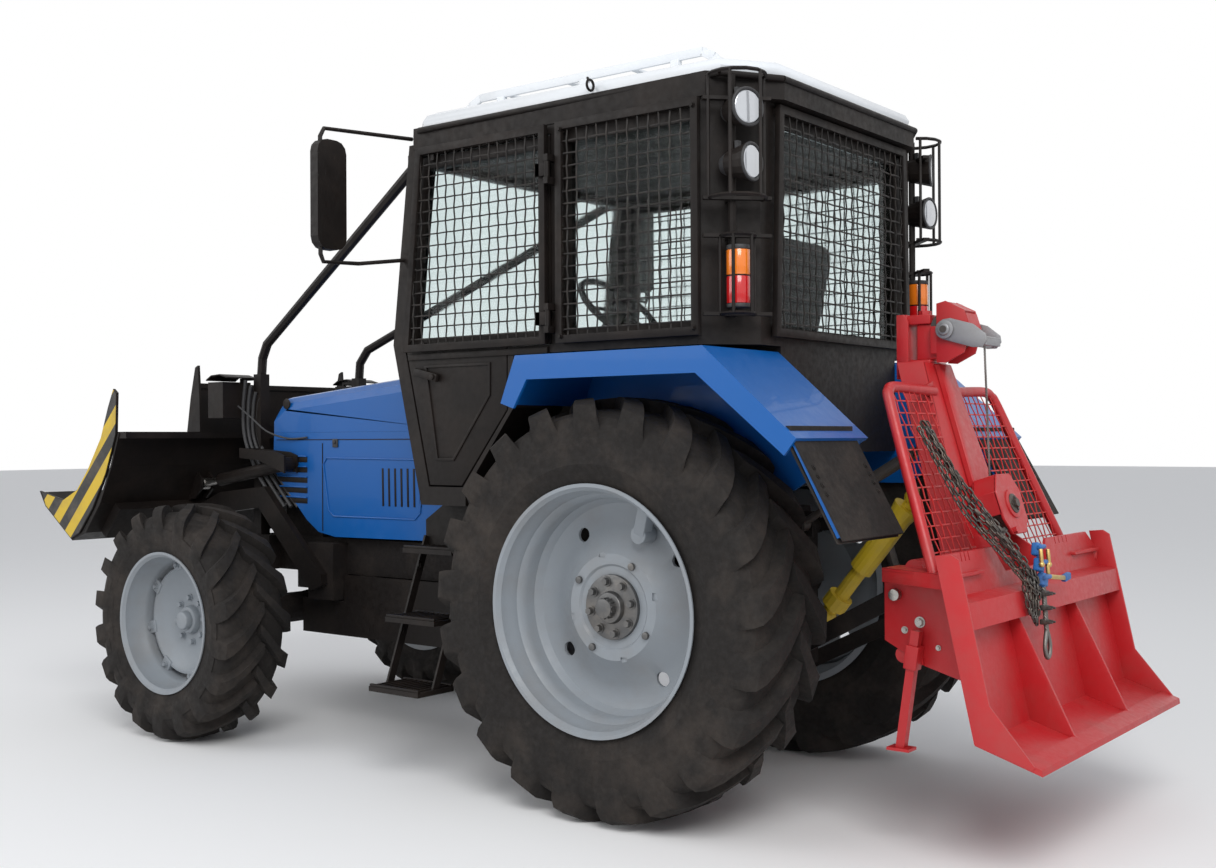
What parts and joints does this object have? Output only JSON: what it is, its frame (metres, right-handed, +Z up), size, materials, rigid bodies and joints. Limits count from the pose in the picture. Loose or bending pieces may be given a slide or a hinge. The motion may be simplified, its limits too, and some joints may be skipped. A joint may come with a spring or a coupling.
{
  "type": "skidder",
  "caption": "Wheeled forestry skidder with a caged cab, raised front loading blade, and a cable winch with mast, pulleys and butt plate on the rear hitch.",
  "frame": {"origin": "middle of the footprint, on the ground", "axes": "+X forwards, +Y to the left, +Z up"},
  "size_m": [5.143, 2.27, 2.8791],
  "materials": {
    "tyre": "matte",
    "rim_paint": "satin",
    "blue_paint": "gloss",
    "black_paint": "satin",
    "cast_black": "matte",
    "white_roof": "gloss",
    "red_paint": "satin",
    "yellow_guard": "matte",
    "steel": "satin",
    "dark_steel": "satin",
    "seat_cloth": "matte",
    "glass": "gloss",
    "dark_plastic": "matte"
  },
  "bodies": {
    "chassis": {"front_frame": "cast_black", "engine_block": "cast_black", "transmission_housing": "cast_black", "belly_guard": "black_paint", "front_axle": "cast_black", "cab_shell": "black_paint", "rear_window": "glass", "windshield": "glass", "rear_guard": "black_paint", "roof": "white_roof", "seat": "seat_cloth", "instrument_console": "dark_plastic", "front_guard": "black_paint", "fender_left": "blue_paint", "hood_side_left": "blue_paint", "side_guard_left": "black_paint", "steps_left": "black_paint", "rear_lamps_left": "black_paint", "mirror_left": "black_paint", "fender_right": "blue_paint", "hood_side_right": "blue_paint", "side_guard_right": "black_paint", "steps_right": "black_paint", "rear_lamps_right": "black_paint", "mirror_right": "black_paint"},
    "front_blade": {"front_blade": "black_paint", "blade_arms": "black_paint"},
    "hood_lid": {"hood_lid": "blue_paint"},
    "lower_links": {"lower_link_left": "cast_black", "lower_link_right": "cast_black"},
    "lift_arms": {"lift_arms": "cast_black"},
    "hitch_rods": {"hitch_rod_left": "dark_steel", "hitch_rod_right": "dark_steel"},
    "top_link": {"top_link": "dark_steel"},
    "pto_shaft_front": {"pto_shaft_front": "yellow_guard"},
    "pto_shaft_rear": {"pto_shaft_rear": "yellow_guard"},
    "winch": {"winch_frame": "red_paint", "winch_drum": "cast_black", "lower_pulley": "red_paint"},
    "winch_head": {"winch_head": "red_paint"},
    "pulley_arm": {"pulley_arm": "steel"},
    "rear_wheel_left": {"rear_tyre_left": "tyre", "rear_rim_left": "rim_paint"},
    "knuckle_left": {"knuckle_left": "cast_black"},
    "front_wheel_left": {"front_tyre_left": "tyre", "front_rim_left": "rim_paint"},
    "door_left": {"door_left": "black_paint"},
    "lift_cylinder_left": {"lift_cylinder_left": "black_paint"},
    "lift_rod_left": {"lift_rod_left": "steel"},
    "stand_leg_left": {"stand_leg_left": "red_paint"},
    "rear_wheel_right": {"rear_tyre_right": "tyre", "rear_rim_right": "rim_paint"},
    "knuckle_right": {"knuckle_right": "cast_black"},
    "front_wheel_right": {"front_tyre_right": "tyre", "front_rim_right": "rim_paint"},
    "door_right": {"door_right": "black_paint"},
    "lift_cylinder_right": {"lift_cylinder_right": "black_paint"},
    "lift_rod_right": {"lift_rod_right": "steel"},
    "stand_leg_right": {"stand_leg_right": "red_paint"}
  },
  "joints": [
    {"name": "rear_wheel_left_spin", "type": "hinge", "parent": "chassis", "child": "rear_wheel_left", "pos_m": [-0.985, 0.7, 0.77], "axis": [0, 1, 0], "continuous": true},
    {"name": "steering_left", "type": "hinge", "parent": "chassis", "child": "knuckle_left", "pos_m": [1.465, 0.66, 0.546], "axis": [0, 0, 1], "range_deg": [-26, 26]},
    {"name": "front_wheel_left_spin", "type": "hinge", "parent": "knuckle_left", "child": "front_wheel_left", "pos_m": [1.465, 0.83, 0.546], "axis": [0, 1, 0], "continuous": true},
    {"name": "door_left_hinge", "type": "hinge", "parent": "chassis", "child": "door_left", "pos_m": [-0.723, 0.802, 1.195], "axis": [0, 0, 1], "range_deg": [0, 85]},
    {"name": "rear_wheel_right_spin", "type": "hinge", "parent": "chassis", "child": "rear_wheel_right", "pos_m": [-0.985, -0.7, 0.77], "axis": [0, 1, 0], "continuous": true},
    {"name": "steering_right", "type": "hinge", "parent": "chassis", "child": "knuckle_right", "pos_m": [1.465, -0.66, 0.546], "axis": [0, 0, 1], "range_deg": [-26, 26]},
    {"name": "front_wheel_right_spin", "type": "hinge", "parent": "knuckle_right", "child": "front_wheel_right", "pos_m": [1.465, -0.83, 0.546], "axis": [0, 1, 0], "continuous": true},
    {"name": "door_right_hinge", "type": "hinge", "parent": "chassis", "child": "door_right", "pos_m": [-0.723, -0.802, 1.195], "axis": [0, 0, -1], "range_deg": [0, 85]},
    {"name": "hood_lid_hinge", "type": "hinge", "parent": "chassis", "child": "hood_lid", "pos_m": [0.2, 0, 1.675], "axis": [0, -1, 0], "range_deg": [0, 14]},
    {"name": "blade_lift", "type": "hinge", "parent": "chassis", "child": "front_blade", "pos_m": [1.065, 0, 0.72], "axis": [0, 1, 0], "range_deg": [0, 20]},
    {"name": "lift_cylinder_left_pivot", "type": "hinge", "parent": "chassis", "child": "lift_cylinder_left", "pos_m": [1.295, 0.4, 1.27], "axis": [0, 1, 0], "range_deg": [0, 21.3]},
    {"name": "lift_rod_left_slide", "type": "slide", "parent": "lift_cylinder_left", "child": "lift_rod_left", "axis": [0.9872, 0, -0.1595], "range_m": [0, 0.2065]},
    {"name": "lift_cylinder_right_pivot", "type": "hinge", "parent": "chassis", "child": "lift_cylinder_right", "pos_m": [1.295, -0.4, 1.27], "axis": [0, 1, 0], "range_deg": [0, 21.3]},
    {"name": "lift_rod_right_slide", "type": "slide", "parent": "lift_cylinder_right", "child": "lift_rod_right", "axis": [0.9872, 0, -0.1595], "range_m": [0, 0.2065]},
    {"name": "winch_lift", "type": "hinge", "parent": "chassis", "child": "lower_links", "pos_m": [-1.195, 0, 0.45], "axis": [0, 1, 0], "range_deg": [-22.6, 0]},
    {"name": "winch_level", "type": "hinge", "parent": "lower_links", "child": "winch", "pos_m": [-1.985, 0, 0.857], "axis": [0, 1, 0], "range_deg": [0, 22.7]},
    {"name": "lift_arms_hinge", "type": "hinge", "parent": "chassis", "child": "lift_arms", "pos_m": [-1.205, 0, 1.02], "axis": [0, 1, 0], "range_deg": [-52.9, 0]},
    {"name": "hitch_rods_hinge", "type": "hinge", "parent": "lift_arms", "child": "hitch_rods", "pos_m": [-1.485, 0, 1.06], "axis": [0, 1, 0], "range_deg": [0, 80.4]},
    {"name": "top_link_hinge", "type": "hinge", "parent": "chassis", "child": "top_link", "pos_m": [-1.345, 0, 1.047], "axis": [0, 1, 0], "range_deg": [-29.1, 0]},
    {"name": "pto_shaft_hinge", "type": "hinge", "parent": "chassis", "child": "pto_shaft_front", "pos_m": [-1.455, 0, 0.7], "axis": [0, 1, 0], "range_deg": [-35.8, 0]},
    {"name": "pto_shaft_slide", "type": "slide", "parent": "pto_shaft_front", "child": "pto_shaft_rear", "axis": [-0.6268, 0, 0.7792], "range_m": [-0.1188, 0]},
    {"name": "winch_head_swivel", "type": "hinge", "parent": "winch", "child": "winch_head", "pos_m": [-1.872, 0, 1.736], "axis": [0, 0, 1], "range_deg": [-22, 22]},
    {"name": "pulley_arm_hinge", "type": "hinge", "parent": "winch_head", "child": "pulley_arm", "pos_m": [-1.98, 0, 1.775], "axis": [0, 1, 0], "range_deg": [-20, 60]},
    {"name": "stand_leg_left_slide", "type": "slide", "parent": "winch", "child": "stand_leg_left", "axis": [-0.147, 0, 0.9891], "range_m": [0, 0.17]},
    {"name": "stand_leg_right_slide", "type": "slide", "parent": "winch", "child": "stand_leg_right", "axis": [-0.147, 0, 0.9891], "range_m": [0, 0.17]}
  ],
  "couplings": [
    {"joint": "lift_cylinder_left_pivot", "follows": "blade_lift", "ratio": 1.06},
    {"joint": "lift_rod_left_slide", "follows": "blade_lift", "m_per_rad": 0.59},
    {"joint": "lift_cylinder_right_pivot", "follows": "blade_lift", "ratio": 1.06},
    {"joint": "lift_rod_right_slide", "follows": "blade_lift", "m_per_rad": 0.59},
    {"joint": "steering_right", "follows": "steering_left", "ratio": 1},
    {"joint": "winch_level", "follows": "winch_lift", "ratio": -1},
    {"joint": "lift_arms_hinge", "follows": "winch_lift", "ratio": 2.336},
    {"joint": "hitch_rods_hinge", "follows": "winch_lift", "ratio": -3.55},
    {"joint": "top_link_hinge", "follows": "winch_lift", "ratio": 1.283},
    {"joint": "pto_shaft_hinge", "follows": "winch_lift", "ratio": 1.58},
    {"joint": "pto_shaft_slide", "follows": "winch_lift", "m_per_rad": 0.3}
  ]
}
